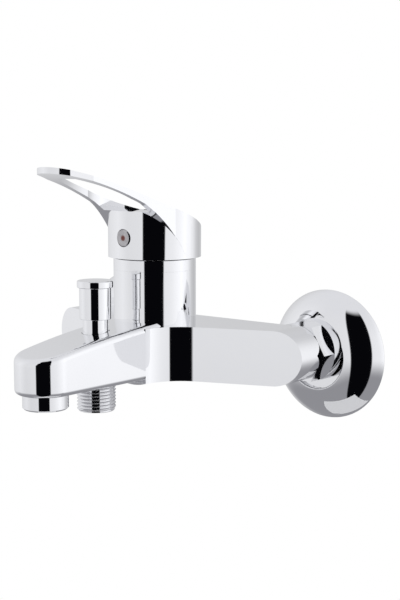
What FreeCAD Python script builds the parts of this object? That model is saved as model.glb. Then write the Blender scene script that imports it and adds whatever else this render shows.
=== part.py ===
import FreeCAD, Part
import math
import os
import Sketcher
from FreeCAD import Placement, Rotation, Vector

# A wall mounted single lever bath mixer: a cast body on two wall unions, a ceramic
# cartridge turned and lifted by a loop lever, a pull-up diverter and a shower outlet.
# Row frame: X along the wall, -Y out into the room, +Z up. The origin lies in the wall
# plane, midway between the two supply threads. Millimetres throughout.

os.makedirs("parts", exist_ok=True)
doc = FreeCAD.newDocument("bath_mixer")
sheet = doc.addObject("Spreadsheet::Sheet", "Sizes")

SIZES = {
    # whole mixer
    "supply_spacing": 150.0,
    "union_offset": 4.4,
    "housing_reach": 64.1,
    "diverter_reach": 112.4,
    "spout_reach": 150.1,
    "fit_gap": 0.05,
    "body_gap": 0.35,
    "bore_lap": 0.1,
    # cast body
    "arm_radius": 15.0,
    "arm_back_reach": 31.0,
    "arm_end_reach": 54.5,
    "arm_root_reach": 70.0,
    "arm_root_half": 33.5,
    "flare_radius": 25.0,
    "flare_reach": 92.4,
    "nose_radius": 15.85,
    "spout_taper": 1.95,
    "spout_floor": 13.0,
    "spout_root_top": 17.0,
    "nose_top": 5.8,
    "spout_crown": 550.0,
    "spout_root_flat": 16.0,
    "spout_blank_extra": 5.0,
    "spout_top_edge": 3.6,
    "spout_floor_edge": 2.6,
    "housing_radius": 23.1,
    "housing_top": 46.5,
    "chamber_floor": 3.0,
    "chamber_radius": 17.6,
    "housing_wall": 2.6,
    "nut_thread_floor": 29.0,
    "channel_radius": 4.0,
    "channel_drop": 4.0,
    "port_radius": 2.4,
    "port_offset": 9.0,
    "mix_channel_radius": 3.4,
    "mix_channel_drop": 1.0,
    # supply side
    "nipple_radius": 10.0,
    "nipple_bore": 7.0,
    "nipple_depth": 12.0,
    "nipple_end_gap": 0.5,
    "lip_radius": 12.6,
    "lip_thick": 3.0,
    "union_face_reach": 22.2,
    "washer_thick": 2.0,
    "washer_radius": 12.9,
    "washer_bore": 7.5,
    "nut_across_flats": 30.0,
    "nut_collar_radius": 17.5,
    "nut_collar_length": 6.6,
    "nut_front_gap": 0.1,
    "nut_lip_gap": 0.2,
    "nut_bore_gap": 0.3,
    "nut_end_reach": 14.2,
    "union_thread_radius": 13.2,
    "union_front_end": 4.0,
    "union_boss_radius": 17.9,
    "union_boss_reach": 11.5,
    "union_boss_length": 8.0,
    "union_overlap": 2.0,
    "wall_thread_radius": 10.48,
    "wall_thread_length": 16.0,
    "rosette_radius": 36.6,
    "rosette_band": 2.3,
    "rosette_band_depth": 3.0,
    "rosette_depth": 13.8,
    "rosette_dome": 26.0,
    "rosette_wall": 1.2,
    "rosette_land": 4.0,
    # cartridge
    "base_thick": 4.0,
    "cartridge_radius": 17.45,
    "seal_radius": 4.2,
    "seal_bore": 2.6,
    "seal_height": 1.6,
    "seal_squeeze": 0.2,
    "fixed_disc_radius": 12.5,
    "fixed_disc_thick": 4.0,
    "moving_disc_radius": 11.0,
    "moving_disc_thick": 3.0,
    "moving_disc_rest": 2.0,
    "mixing_pocket_radius": 6.0,
    "slide_plate_thick": 3.4,
    "slide_socket_floor": 0.6,
    "shell_bore": 15.0,
    "shell_roof_floor": 33.4,
    "shell_roof_thick": 2.6,
    "turret_radius": 14.6,
    "turret_floor": 18.0,
    "turret_shoulder": 33.0,
    "turret_neck_radius": 11.5,
    "turret_top": 37.0,
    "pivot_height": 26.0,
    "stem_width": 7.0,
    "stem_slot_gap": 0.2,
    "slot_front": 7.0,
    "slot_back": 9.3,
    "ball_radius": 2.0,
    "ball_gap": 0.3,
    "ball_drop": 9.0,
    "stem_neck_radius": 1.6,
    "stem_square_drop": 4.0,
    "stem_top": 67.0,
    "pin_radius": 1.5,
    "pin_length": 26.0,
    "cartridge_nut_gap": 0.1,
    "cartridge_nut_flange": 4.0,
    "cartridge_nut_hex": 34.0,
    "cartridge_nut_height": 8.0,
    "cartridge_nut_bore": 13.6,
    "ring_top": 51.0,
    "ring_bore": 19.9,
    "ring_spigot": 2.0,
    # lever
    "lever_overhang": 2.9,
    "lever_gap": 0.6,
    "lever_roof": 77.8,
    "lever_wall": 2.6,
    "lever_cavity_top": 60.0,
    "hub_radius": 8.0,
    "hub_floor": 58.0,
    "lever_flare": 0.1,
    "lever_back_height": 71.0,
    "tip_reach": 147.4,
    "tip_top": 102.9,
    "tip_thick": 3.3,
    "tip_half": 12.0,
    "tip_radius": 16.0,
    "tip_corner_depth": 5.4,
    "shoulder_reach": 130.0,
    "shoulder_half": 16.6,
    "waist_reach": 92.0,
    "waist_inset": 5.4,
    "lever_back_top": 63.2,
    "lever_crown": 560.0,
    "loop_knee_reach": 95.0,
    "loop_knee_height": 82.8,
    "loop_under_radius": 223.0,
    "loop_heel_radius": 73.4,
    "loop_heel_reach": 66.8,
    "hole_front_reach": 133.5,
    "hole_front_half": 7.0,
    "hole_wide_reach": 101.0,
    "hole_wide_half": 15.6,
    "hole_back_reach": 70.5,
    "hole_back_half": 5.5,
    "hole_front_bow": 70.7,
    "hole_back_bow": 28.3,
    "screw_height": 63.2,
    "screw_radius": 2.5,
    "screw_length": 10.0,
    "screw_key_depth": 3.0,
    "plug_radius": 4.9,
    "plug_depth": 2.4,
    "plug_edge": 0.6,
    "plug_proud": 0.2,
    # diverter
    "diverter_chamber_radius": 8.0,
    "seat_radius": 5.5,
    "seat_floor": 3.0,
    "seat_thick": 1.5,
    "upper_chamber_top": 9.0,
    "spout_channel_radius": 3.0,
    "spout_channel_height": 5.2,
    "valve_radius": 7.0,
    "valve_thick": 2.0,
    "valve_seal_thick": 1.0,
    "valve_seal_radius": 7.3,
    "rod_radius": 2.0,
    "rod_top": 37.0,
    "collar_radius": 4.0,
    "collar_height": 11.0,
    "collar_thick": 1.0,
    "bonnet_thread_radius": 6.1,
    "bonnet_flange_radius": 7.3,
    "bonnet_flange_floor": 12.9,
    "bonnet_flange_thick": 1.6,
    "bonnet_sleeve_radius": 6.8,
    "bonnet_top": 31.0,
    "bonnet_bore": 4.6,
    "bonnet_ceiling": 26.0,
    "rod_seal_groove": 3.7,
    "rod_seal_shoulder": 1.0,
    "rod_seal_height": 1.8,
    "knob_floor": 21.5,
    "knob_radius": 8.6,
    "knob_cap_floor": 38.4,
    "knob_cap_radius": 9.75,
    "knob_top": 42.1,
    "knob_edge": 1.1,
    "knob_cap_ease": 0.4,
    "knob_bore": 7.2,
    "knob_roof": 34.0,
    "spring_wire": 0.5,
    "spring_radius": 3.3,
    "spring_turns": 6.0,
    # outlets
    "shower_thread_radius": 10.48,
    "shower_thread_length": 15.0,
    "shower_spigot_radius": 9.0,
    "shower_spigot_length": 5.0,
    "shower_bore": 6.2,
    "shower_thread_lead": 1.0,
    "aerator_radius": 12.0,
    "aerator_length": 7.9,
    "aerator_thread_radius": 10.9,
    "aerator_thread_length": 8.0,
    "aerator_bore": 9.6,
    "aerator_lip": 1.6,
    "aerator_lip_step": 1.0,
    "aerator_edge": 0.8,
    "insert_top_length": 6.0,
    "insert_hole_radius": 0.8,
    "insert_ring_step": 3.0,
    "gasket_thick": 1.4,
    "gasket_bore": 7.5,
    "gasket_gap": 0.2,
    "nose_chamber_radius": 8.5,
}


class Size:
    """A length that knows both its number and the sheet expression that gives it."""

    def __init__(self, value, text):
        self.value = float(value)
        self.text = text

    def __add__(self, other):
        other = as_size(other)
        return Size(self.value + other.value, f"({self.text} + {other.text})")

    def __sub__(self, other):
        other = as_size(other)
        return Size(self.value - other.value, f"({self.text} - {other.text})")

    def __mul__(self, other):
        other = as_size(other)
        return Size(self.value * other.value, f"({self.text} * {other.text})")

    def __truediv__(self, other):
        other = as_size(other)
        return Size(self.value / other.value, f"({self.text} / {other.text})")

    def __neg__(self):
        return Size(-self.value, f"(0 - {self.text})")


def as_size(number):
    return number if isinstance(number, Size) else Size(number, repr(float(number)))


def fill_sheet():
    """Write every driving dimension to its own cell, with its name as the alias."""
    named = {}
    for row, (name, value) in enumerate(SIZES.items(), start=1):
        sheet.set(f"A{row}", name)
        sheet.set(f"B{row}", str(value))
        sheet.setAlias(f"B{row}", name)
        named[name] = Size(value, f"Sizes.{name}")
    doc.recompute()
    return named


d = fill_sheet()
AXIS = d["union_offset"]
HOUSING_Y = -d["housing_reach"]
DIVERTER_Y = -d["diverter_reach"]
NOSE_Y = -d["spout_reach"]
HALF_SPACING = d["supply_spacing"] / 2
SPOUT_ROOT = d["nose_radius"] + d["spout_taper"]
NUT_THREAD = d["housing_radius"] - d["housing_wall"]
LEVER_BASE = d["housing_radius"] + d["lever_overhang"]
LEVER_BACK = LEVER_BASE + d["lever_flare"]
CUT_SPARE = 1    # how far a cutting tool runs past the face that it opens

UP = Rotation(Vector(0, 0, 1), 0)
TO_WALL = Rotation(Vector(1, 0, 0), -90)     # turns local +Z to row +Y
ALONG_X = Rotation(Vector(0, 1, 0), 90)      # turns local +Z to row +X
SIDE_VIEW = Rotation(Vector(1, 1, 1), 120)   # sketch x to row +Y, sketch y to row +Z
FRONT_VIEW = Rotation(Vector(1, 0, 0), 90)   # sketch x to row +X, sketch y to row +Z

nodes = []


def bind(thing, field, size):
    thing.setExpression(field, as_size(size).text)


def place(thing, x, y, z, turn=UP):
    """Stand an object at a point given by sizes, turned by a fixed rotation."""
    x, y, z = as_size(x), as_size(y), as_size(z)
    thing.Placement = Placement(Vector(x.value, y.value, z.value), turn)
    bind(thing, "Placement.Base.x", x)
    bind(thing, "Placement.Base.y", y)
    bind(thing, "Placement.Base.z", z)
    return thing


def keep(thing, label):
    """Register a finished sub-part under its node name."""
    thing.Label = label
    nodes.append(thing)
    return thing


def arc_between(start, end, radius):
    """An arc through two points; a positive radius bulges to the right of the way there."""
    chord = end - start
    half = chord.Length / 2
    right = Vector(chord.y, -chord.x, 0).normalize()
    away = math.sqrt(radius * radius - half * half)
    side = 1 if radius > 0 else -1
    centre = (start + end) / 2 - right * side * away
    first, last = (start, end) if side > 0 else (end, start)
    from_angle = math.atan2(first.y - centre.y, first.x - centre.x)
    to_angle = math.atan2(last.y - centre.y, last.x - centre.x)
    if to_angle < from_angle:
        to_angle += 2 * math.pi
    circle = Part.Circle(centre, Vector(0, 0, 1), abs(radius))
    return Part.ArcOfCircle(circle, from_angle, to_angle)


def draw_outline(sketch, corners):
    """Close an outline from (across, up) corners.

    A third value makes the side that leaves a corner an arc. A half circle is held by its
    centre, which lies level with its ends, and any other arc by its radius.
    """
    corners = [(as_size(c[0]), as_size(c[1])) + tuple(c[2:]) for c in corners]
    points = [Vector(c[0].value, c[1].value, 0) for c in corners]
    starts = []
    ends = []
    for index, corner in enumerate(corners):
        start = points[index]
        end = points[(index + 1) % len(points)]
        if len(corner) == 3:
            curve = arc_between(start, end, corner[2].value)
            forward = corner[2].value > 0
        else:
            curve = Part.LineSegment(start, end)
            forward = True
        sketch.addGeometry(curve, False)
        starts.append(1 if forward else 2)
        ends.append(2 if forward else 1)
    for index, corner in enumerate(corners):
        after = (index + 1) % len(points)
        join = Sketcher.Constraint("Coincident", index, ends[index], after, starts[after])
        sketch.addConstraint(join)
        for kind, size in (("DistanceX", corner[0]), ("DistanceY", corner[1])):
            rule = Sketcher.Constraint(kind, -1, 1, index, starts[index], size.value)
            number = sketch.addConstraint(rule)
            sketch.setExpression(f"Constraints[{number}]", size.text)
        if len(corner) == 3:
            chord = points[after] - points[index]
            if abs(chord.Length - 2 * abs(corner[2].value)) < 1e-6:
                upright = abs(chord.x) < abs(chord.y)
                size = corner[0] if upright else corner[1]
                kind = "DistanceX" if upright else "DistanceY"
                rule = Sketcher.Constraint(kind, -1, 1, index, 3, size.value)
            else:
                size = corner[2] if corner[2].value > 0 else -corner[2]
                rule = Sketcher.Constraint("Radius", index, size.value)
            number = sketch.addConstraint(rule)
            sketch.setExpression(f"Constraints[{number}]", size.text)


def turned(name, profile, x=0, y=0, z=0, turn=UP):
    """A PartDesign body turned about its own Z axis from an (r, z) profile."""
    body = doc.addObject("PartDesign::Body", name)
    sketch = body.newObject("Sketcher::SketchObject", name + "_profile")
    plane = [f for f in body.Origin.OriginFeatures if f.Role == "XZ_Plane"][0]
    sketch.AttachmentSupport = (plane, [""])
    sketch.MapMode = "FlatFace"
    draw_outline(sketch, profile)
    spin = body.newObject("PartDesign::Revolution", name + "_turn")
    spin.Profile = sketch
    spin.ReferenceAxis = (sketch, ["V_Axis"])
    spin.Angle = 360
    body.Tip = spin
    return place(body, x, y, z, turn)


def tube(name, bore, radius, low, high, x=0, y=0, z=0, turn=UP):
    """A plain ring between two radii and two heights."""
    return turned(name, [(bore, low), (radius, low), (radius, high), (bore, high)], x, y, z, turn)


def slab(name, corners, view, low, high):
    """An outline drawn in one view and extruded square to it, from low to high."""
    sketch = doc.addObject("Sketcher::SketchObject", name + "_outline")
    sketch.Placement = Placement(Vector(0, 0, 0), view)
    draw_outline(sketch, corners)
    block = doc.addObject("Part::Extrusion", name)
    block.Base = sketch
    block.DirMode = "Custom"
    block.Dir = view.multVec(Vector(0, 0, 1))
    block.Solid = True
    bind(block, "LengthFwd", high)
    bind(block, "LengthRev", -as_size(low))
    return block


def rod(name, radius, length, x, y, z, turn=UP):
    bar = doc.addObject("Part::Cylinder", name)
    bind(bar, "Radius", radius)
    bind(bar, "Height", length)
    return place(bar, x, y, z, turn)


def brick(name, width, depth, height, x, y, z):
    """A box whose width is centred on x and whose depth is centred on y, standing on z."""
    block = doc.addObject("Part::Box", name)
    bind(block, "Length", width)
    bind(block, "Width", depth)
    bind(block, "Height", height)
    return place(block, as_size(x) - as_size(width) / 2, as_size(y) - as_size(depth) / 2, z)


def hexagon(name, across_flats, length, x, y, z, turn=UP):
    prism = doc.addObject("Part::Prism", name)
    prism.Polygon = 6
    bind(prism, "Circumradius", as_size(across_flats) / math.sqrt(3))
    bind(prism, "Height", length)
    return place(prism, x, y, z, turn)


def joined(name, pieces):
    whole = doc.addObject("Part::MultiFuse", name)
    whole.Shapes = pieces
    whole.Refine = True
    return whole


def shared(name, first, second):
    both = doc.addObject("Part::Common", name)
    both.Base = first
    both.Tool = second
    return both


def without(name, block, holes):
    """Cut the holes one after another, which copes with holes that run into each other."""
    for number, hole in enumerate(holes, start=1):
        rest = doc.addObject("Part::Cut", f"{name}_cut_{number}")
        rest.Base = block
        rest.Tool = hole
        block = rest
    return block


# ---- the cast body ---------------------------------------------------------------

def arm_bar():
    """The bar across the wall: round-ended from the front, swept back from the spout in plan."""
    radius = d["arm_radius"]
    front = slab(
        "arm_front_view",
        [
            (-HALF_SPACING, AXIS - radius),
            (HALF_SPACING, AXIS - radius, radius),
            (HALF_SPACING, AXIS + radius),
            (-HALF_SPACING, AXIS + radius, radius),
        ],
        FRONT_VIEW,
        d["arm_back_reach"],
        d["flare_reach"] + 1,
    )
    tip = HALF_SPACING + radius + 1
    sweep = (d["arm_root_reach"] - d["arm_end_reach"]) / (HALF_SPACING - d["arm_root_half"])
    tip_reach = d["arm_end_reach"] - sweep * (tip - HALF_SPACING)
    plan = slab(
        "arm_plan_view",
        [
            (tip, -d["arm_back_reach"]),
            (-tip, -d["arm_back_reach"]),
            (-tip, -tip_reach),
            (-d["arm_root_half"], -d["arm_root_reach"], -d["flare_radius"]),
            (-SPOUT_ROOT, -d["flare_reach"]),
            (SPOUT_ROOT, -d["flare_reach"], -d["flare_radius"]),
            (d["arm_root_half"], -d["arm_root_reach"]),
            (tip, -tip_reach),
        ],
        UP,
        AXIS - radius,
        AXIS + radius,
    )
    return shared("arm_bar", front, plan)


def spout_block():
    """The spout: a round nose and nearly parallel sides under a gently crowned top."""
    nose = d["nose_radius"]
    root = SPOUT_ROOT
    plan = slab(
        "spout_plan_view",
        [
            (root, HOUSING_Y),
            (-root, HOUSING_Y),
            (-root, -d["flare_reach"]),
            (-nose, NOSE_Y, nose),
            (nose, NOSE_Y),
            (root, -d["flare_reach"]),
        ],
        UP,
        AXIS - d["spout_floor"],
        AXIS + d["spout_root_top"] + d["spout_blank_extra"],
    )
    front = NOSE_Y - nose - 1
    side = slab(
        "spout_side_view",
        [
            (HOUSING_Y, AXIS - d["spout_floor"]),
            (HOUSING_Y, AXIS + d["spout_root_top"]),
            (HOUSING_Y - d["spout_root_flat"], AXIS + d["spout_root_top"], d["spout_crown"]),
            (front, AXIS + d["nose_top"]),
            (front, AXIS - d["spout_floor"]),
        ],
        SIDE_VIEW,
        -(root + 1),
        root + 1,
    )
    return shared("spout_block", plan, side)


def eased_spout():
    """The spout block with its top edges well rounded and its underside edges softened."""
    block = spout_block()
    doc.recompute()
    soft = doc.addObject("Part::Fillet", "spout_eased")
    soft.Base = block
    floor = (AXIS - d["spout_floor"]).value
    root_y = HOUSING_Y.value
    edges = []
    for number, edge in enumerate(block.Shape.Edges, start=1):
        box = edge.BoundBox
        if box.YMax > root_y - 1 or box.ZLength > 0.8 * d["spout_root_top"].value:
            continue
        if box.ZMax < floor + 0.01:
            edges.append((number, d["spout_floor_edge"].value, d["spout_floor_edge"].value))
        elif box.YLength > 1 and box.ZMin > floor + 1:
            edges.append((number, d["spout_top_edge"].value, d["spout_top_edge"].value))
    soft.Edges = edges
    return soft


def supply_channels():
    """Each arm's inlet bore and the channel that carries the water under its cartridge port."""
    holes = []
    level = AXIS - d["channel_drop"]
    for side, word in ((-1, "left"), (1, "right")):
        inlet_y = -(d["arm_back_reach"] + d["nipple_depth"])
        port_x = d["port_offset"] * side
        thread = d["nipple_radius"] + d["fit_gap"]
        pipe = d["channel_radius"]
        arm_x = HALF_SPACING * side
        depth = d["nipple_depth"] + CUT_SPARE
        holes.append(rod(f"inlet_{word}", thread, depth, arm_x, inlet_y, AXIS, TO_WALL))
        run = HALF_SPACING - d["port_offset"] + pipe
        start_x = port_x - pipe if side > 0 else -HALF_SPACING
        across_y = inlet_y + pipe / 2
        holes.append(rod(f"across_{word}", pipe, run, start_x, across_y, level, ALONG_X))
        reach = d["housing_reach"] + across_y
        holes.append(rod(f"forward_{word}", pipe, reach, port_x, HOUSING_Y, level, TO_WALL))
        rise = d["chamber_floor"] + d["channel_drop"] + CUT_SPARE
        holes.append(rod(f"port_{word}", d["port_radius"], rise, port_x, HOUSING_Y, level))
        link_y = inlet_y - pipe * 0.75
        link = pipe * 1.5
        holes.append(rod(f"inlet_link_{word}", pipe, link, arm_x, link_y, level, TO_WALL))
    return holes


def outlet_channels():
    """The way from the mixing port forward to the diverter, and on to the nose."""
    level = AXIS - d["mix_channel_drop"]
    back = HOUSING_Y - d["port_offset"]
    run = d["diverter_reach"] - d["housing_reach"] - d["port_offset"]
    forward = rod("mixed_channel", d["mix_channel_radius"], run, 0, DIVERTER_Y, level, TO_WALL)
    rise = d["chamber_floor"] + d["mix_channel_drop"] + CUT_SPARE
    port = rod("mixed_port", d["port_radius"], rise, 0, back, level)
    high = AXIS + d["spout_channel_height"]
    reach = d["spout_reach"] - d["diverter_reach"]
    onward = rod("spout_channel", d["spout_channel_radius"], reach, 0, NOSE_Y, high, TO_WALL)
    return [forward, port, onward]


def diverter_bores():
    """The diverter's stack of bores, from the shower socket up to the bonnet's spotface."""
    lap = d["bore_lap"]
    y = DIVERTER_Y
    wide = d["diverter_chamber_radius"]
    spigot = d["shower_spigot_radius"] + d["fit_gap"]
    spigot_high = d["shower_spigot_length"]
    floor = AXIS - d["spout_floor"]
    lower = rod("shower_socket", spigot, spigot_high + CUT_SPARE, 0, y, floor - CUT_SPARE)
    chamber_high = d["seat_floor"] + d["spout_floor"] - spigot_high + lap
    chamber = rod("diverter_chamber", wide, chamber_high, 0, y, floor + spigot_high - lap)
    seat_floor = AXIS + d["seat_floor"]
    seat = rod("diverter_seat", d["seat_radius"], d["seat_thick"] + lap * 2, 0, y, seat_floor - lap)
    upper_high = d["upper_chamber_top"] - d["seat_floor"] - d["seat_thick"]
    upper = rod("upper_chamber", wide, upper_high, 0, y, seat_floor + d["seat_thick"])
    thread = d["bonnet_thread_radius"] + d["fit_gap"]
    open_high = d["spout_root_top"] - d["upper_chamber_top"] + CUT_SPARE
    bonnet = rod("bonnet_socket", thread, open_high, 0, y, AXIS + d["upper_chamber_top"] - lap)
    flange = d["bonnet_flange_radius"] + d["fit_gap"] * 4
    spot = rod("bonnet_spotface", flange, open_high, 0, y, AXIS + d["bonnet_flange_floor"])
    return [lower, chamber, seat, upper, bonnet, spot]


def nose_bores():
    """The aerator's threaded socket and the chamber above it."""
    floor = AXIS - d["spout_floor"]
    thread = d["aerator_thread_radius"] + d["fit_gap"]
    socket_high = d["aerator_thread_length"] + d["gasket_thick"] + CUT_SPARE
    socket = rod("aerator_socket", thread, socket_high, 0, NOSE_Y, floor - CUT_SPARE)
    high = d["spout_floor"] + d["spout_channel_height"]
    chamber = rod("nose_chamber", d["nose_chamber_radius"], high, 0, NOSE_Y, floor)
    return [socket, chamber]


def body_casting():
    """The brass casting: arms, spout and housing in one, with its chambers and channels."""
    barrel_high = d["housing_top"] + d["arm_radius"]
    barrel_floor = AXIS - d["arm_radius"]
    housing = rod("housing_barrel", d["housing_radius"], barrel_high, 0, HOUSING_Y, barrel_floor)
    outer = joined("casting_outer", [arm_bar(), eased_spout(), housing])
    radius = d["chamber_radius"]
    floor = AXIS + d["chamber_floor"]
    high = d["housing_top"] - d["chamber_floor"] + CUT_SPARE
    chamber = rod("cartridge_chamber", radius, high, 0, HOUSING_Y, floor)
    thread = NUT_THREAD + d["fit_gap"]
    mouth_floor = AXIS + d["nut_thread_floor"]
    mouth_high = d["housing_top"] - d["nut_thread_floor"] + CUT_SPARE
    mouth = rod("cartridge_mouth", thread, mouth_high, 0, HOUSING_Y, mouth_floor)
    holes = [chamber, mouth] + supply_channels() + outlet_channels()
    holes += diverter_bores() + nose_bores()
    return keep(without("casting", outer, holes), "body_casting")


# ---- the supply side -------------------------------------------------------------

def inlet_nipple(side, word):
    """A threaded tail in the body whose lip the union nut pulls against the washer."""
    lip_back = d["union_face_reach"] + d["washer_thick"]
    lip_front = lip_back + d["lip_thick"]
    tail_end = d["arm_back_reach"] + d["nipple_depth"] - d["nipple_end_gap"]
    profile = [
        (d["nipple_bore"], -tail_end),
        (d["nipple_radius"], -tail_end),
        (d["nipple_radius"], -lip_front),
        (d["lip_radius"], -lip_front),
        (d["lip_radius"], -lip_back),
        (d["nipple_bore"], -lip_back),
    ]
    tail = turned(f"nipple_{word}", profile, HALF_SPACING * side, 0, AXIS, TO_WALL)
    return keep(tail, f"inlet_nipple_{word}")


def union_nut(side, word):
    """A hexagon nut with a round collar at its wall end, loose on the nipple behind its lip."""
    front = d["arm_back_reach"] - d["nut_front_gap"]
    end = d["nut_end_reach"]
    collar = end + d["nut_collar_length"]
    x = HALF_SPACING * side
    lip_seat = d["union_face_reach"] + d["washer_thick"] + d["lip_thick"] + d["nut_lip_gap"]
    flats = d["nut_across_flats"]
    hexed = hexagon(f"nut_hex_{word}", flats, front - collar, x, -front, AXIS, TO_WALL)
    radius = d["nut_collar_radius"]
    length = d["nut_collar_length"]
    round_end = rod(f"nut_collar_{word}", radius, length, x, -collar, AXIS, TO_WALL)
    bore = d["nipple_radius"] + d["nut_bore_gap"]
    lip_hole = rod(f"nut_lip_hole_{word}", bore, front, x, -front - CUT_SPARE, AXIS, TO_WALL)
    thread_radius = d["union_thread_radius"] + d["fit_gap"]
    thread = rod(f"nut_thread_{word}", thread_radius, lip_seat, x, -lip_seat, AXIS, TO_WALL)
    outer = joined(f"nut_outer_{word}", [hexed, round_end])
    return keep(without(f"nut_{word}", outer, [lip_hole, thread]), f"union_nut_{word}")


def union_washer(side, word):
    near = -d["union_face_reach"]
    far = near - d["washer_thick"]
    bore = d["washer_bore"]
    x = HALF_SPACING * side
    ring = tube(f"washer_{word}", bore, d["washer_radius"], far, near, x, 0, AXIS, TO_WALL)
    return keep(ring, f"union_washer_{word}")


def s_union(side, word):
    """The eccentric union: a thread for the nut, a boss, and the supply thread set lower."""
    x = HALF_SPACING * side
    near = d["union_face_reach"]
    front_end = d["union_front_end"]
    radius = d["union_thread_radius"]
    front = rod(f"union_front_{word}", radius, near - front_end, x, -near, AXIS, TO_WALL)
    boss_y = -d["union_boss_reach"]
    boss_radius = d["union_boss_radius"]
    boss_length = d["union_boss_length"]
    boss = rod(f"union_boss_{word}", boss_radius, boss_length, x, boss_y, 0, TO_WALL)
    lap = d["union_overlap"]
    length = d["wall_thread_length"] + d["union_boss_reach"] - lap
    wall = rod(f"union_wall_{word}", d["wall_thread_radius"], length, x, boss_y + lap, 0, TO_WALL)
    bore = d["nipple_bore"]
    front_bore = near - front_end - lap + CUT_SPARE
    front_y = -near - CUT_SPARE
    bore_front = rod(f"union_bore_front_{word}", bore, front_bore, x, front_y, AXIS, TO_WALL)
    wall_y = -front_end - lap * 2.5
    wall_bore = d["wall_thread_length"] - wall_y + CUT_SPARE
    bore_wall = rod(f"union_bore_wall_{word}", bore, wall_bore, x, wall_y, 0, TO_WALL)
    outer = joined(f"union_outer_{word}", [front, boss, wall])
    return keep(without(f"union_{word}", outer, [bore_front, bore_wall]), f"s_union_{word}")


def rosette(side, word):
    """A thin domed cover that hides the hole in the wall, riding on the union's boss."""
    rim = d["rosette_radius"]
    band = rim - d["rosette_band"]
    hole = d["union_boss_radius"] + d["fit_gap"]
    wall = d["rosette_wall"]
    depth = d["rosette_depth"]
    dome = d["rosette_dome"]
    land = d["rosette_land"]
    profile = [
        (rim - wall, 0),
        (rim, 0),
        (band, -d["rosette_band_depth"], -dome),
        (hole + land, -depth),
        (hole, -depth),
        (hole, -depth + wall * 3),
        (hole + wall, -depth + wall * 3),
        (hole + wall, -depth + wall),
        (hole + land, -depth + wall, dome - wall),
        (band - wall, -d["rosette_band_depth"]),
    ]
    cover = turned(f"cover_{word}", profile, HALF_SPACING * side, 0, 0, TO_WALL)
    return keep(cover, f"rosette_{word}")


# ---- the cartridge ---------------------------------------------------------------

BASE_FLOOR = AXIS + d["chamber_floor"] + d["seal_squeeze"]
FIXED_FLOOR = BASE_FLOOR + d["base_thick"]
MOVING_FLOOR = FIXED_FLOOR + d["fixed_disc_thick"]
PLATE_FLOOR = MOVING_FLOOR + d["moving_disc_thick"]
MOVING_Y = HOUSING_Y + d["moving_disc_rest"]
PIVOT_Z = AXIS + d["pivot_height"]


def port_places():
    """The three ports below the disc: hot on the left, cold on the right, mixed in front."""
    off = d["port_offset"]
    return [(-off, HOUSING_Y, "hot"), (off, HOUSING_Y, "cold"), (0, HOUSING_Y - off, "mixed")]


def cartridge_base():
    plate = rod("base_plate", d["cartridge_radius"], d["base_thick"], 0, HOUSING_Y, BASE_FLOOR)
    holes = []
    below = BASE_FLOOR - CUT_SPARE
    depth = d["seal_height"] - d["seal_squeeze"] + CUT_SPARE
    through = d["base_thick"] + CUT_SPARE * 2
    recess = d["seal_radius"] + d["fit_gap"]
    for x, y, word in port_places():
        holes.append(rod(f"base_port_{word}", d["port_radius"], through, x, y, below))
        holes.append(rod(f"base_recess_{word}", recess, depth, x, y, below))
    return keep(without("base", plate, holes), "cartridge_base")


def port_seals():
    floor = AXIS + d["chamber_floor"]
    rings = []
    for x, y, word in port_places():
        bore = d["seal_bore"]
        rings.append(tube(f"seal_{word}", bore, d["seal_radius"], 0, d["seal_height"], x, y, floor))
    group = doc.addObject("Part::Compound", "seals")
    group.Links = rings
    return keep(group, "port_seals")


def ceramic_discs():
    """The fixed disc with its three ports, and the moving disc with the pocket that joins them."""
    thick = d["fixed_disc_thick"]
    fixed = rod("fixed_blank", d["fixed_disc_radius"], thick, 0, HOUSING_Y, FIXED_FLOOR)
    ports = []
    below = FIXED_FLOOR - CUT_SPARE
    for x, y, word in port_places():
        ports.append(rod(f"fixed_port_{word}", d["port_radius"], thick + CUT_SPARE * 2, x, y, below))
    keep(without("fixed_disc", fixed, ports), "ceramic_disc_fixed")
    radius = d["moving_disc_radius"]
    blank = rod("moving_blank", radius, d["moving_disc_thick"], 0, MOVING_Y, MOVING_FLOOR)
    hollow = d["mixing_pocket_radius"]
    deep = d["moving_disc_thick"] / 2 + CUT_SPARE
    pocket = rod("mixing_pocket", hollow, deep, 0, MOVING_Y, MOVING_FLOOR - CUT_SPARE)
    keep(without("moving_disc", blank, [pocket]), "ceramic_disc_moving")


def slide_plate():
    """The plastic plate on the moving disc, with the socket that the stem's ball pushes."""
    thick = d["slide_plate_thick"]
    plate = rod("plate_blank", d["moving_disc_radius"], thick, 0, MOVING_Y, PLATE_FLOOR)
    radius = d["ball_radius"] + d["ball_gap"]
    socket_floor = PLATE_FLOOR + d["slide_socket_floor"]
    socket = rod("plate_socket", radius, thick, 0, HOUSING_Y, socket_floor)
    return keep(without("plate", plate, [socket]), "disc_slide_plate")


def cartridge_shell():
    roof = AXIS + d["shell_roof_floor"]
    top = roof + d["shell_roof_thick"]
    neck = d["turret_neck_radius"] + d["body_gap"]
    profile = [
        (d["shell_bore"], FIXED_FLOOR),
        (d["cartridge_radius"], FIXED_FLOOR),
        (d["cartridge_radius"], top),
        (neck, top),
        (neck, roof),
        (d["shell_bore"], roof),
    ]
    return keep(turned("shell", profile, 0, HOUSING_Y, 0), "cartridge_shell")


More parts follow.
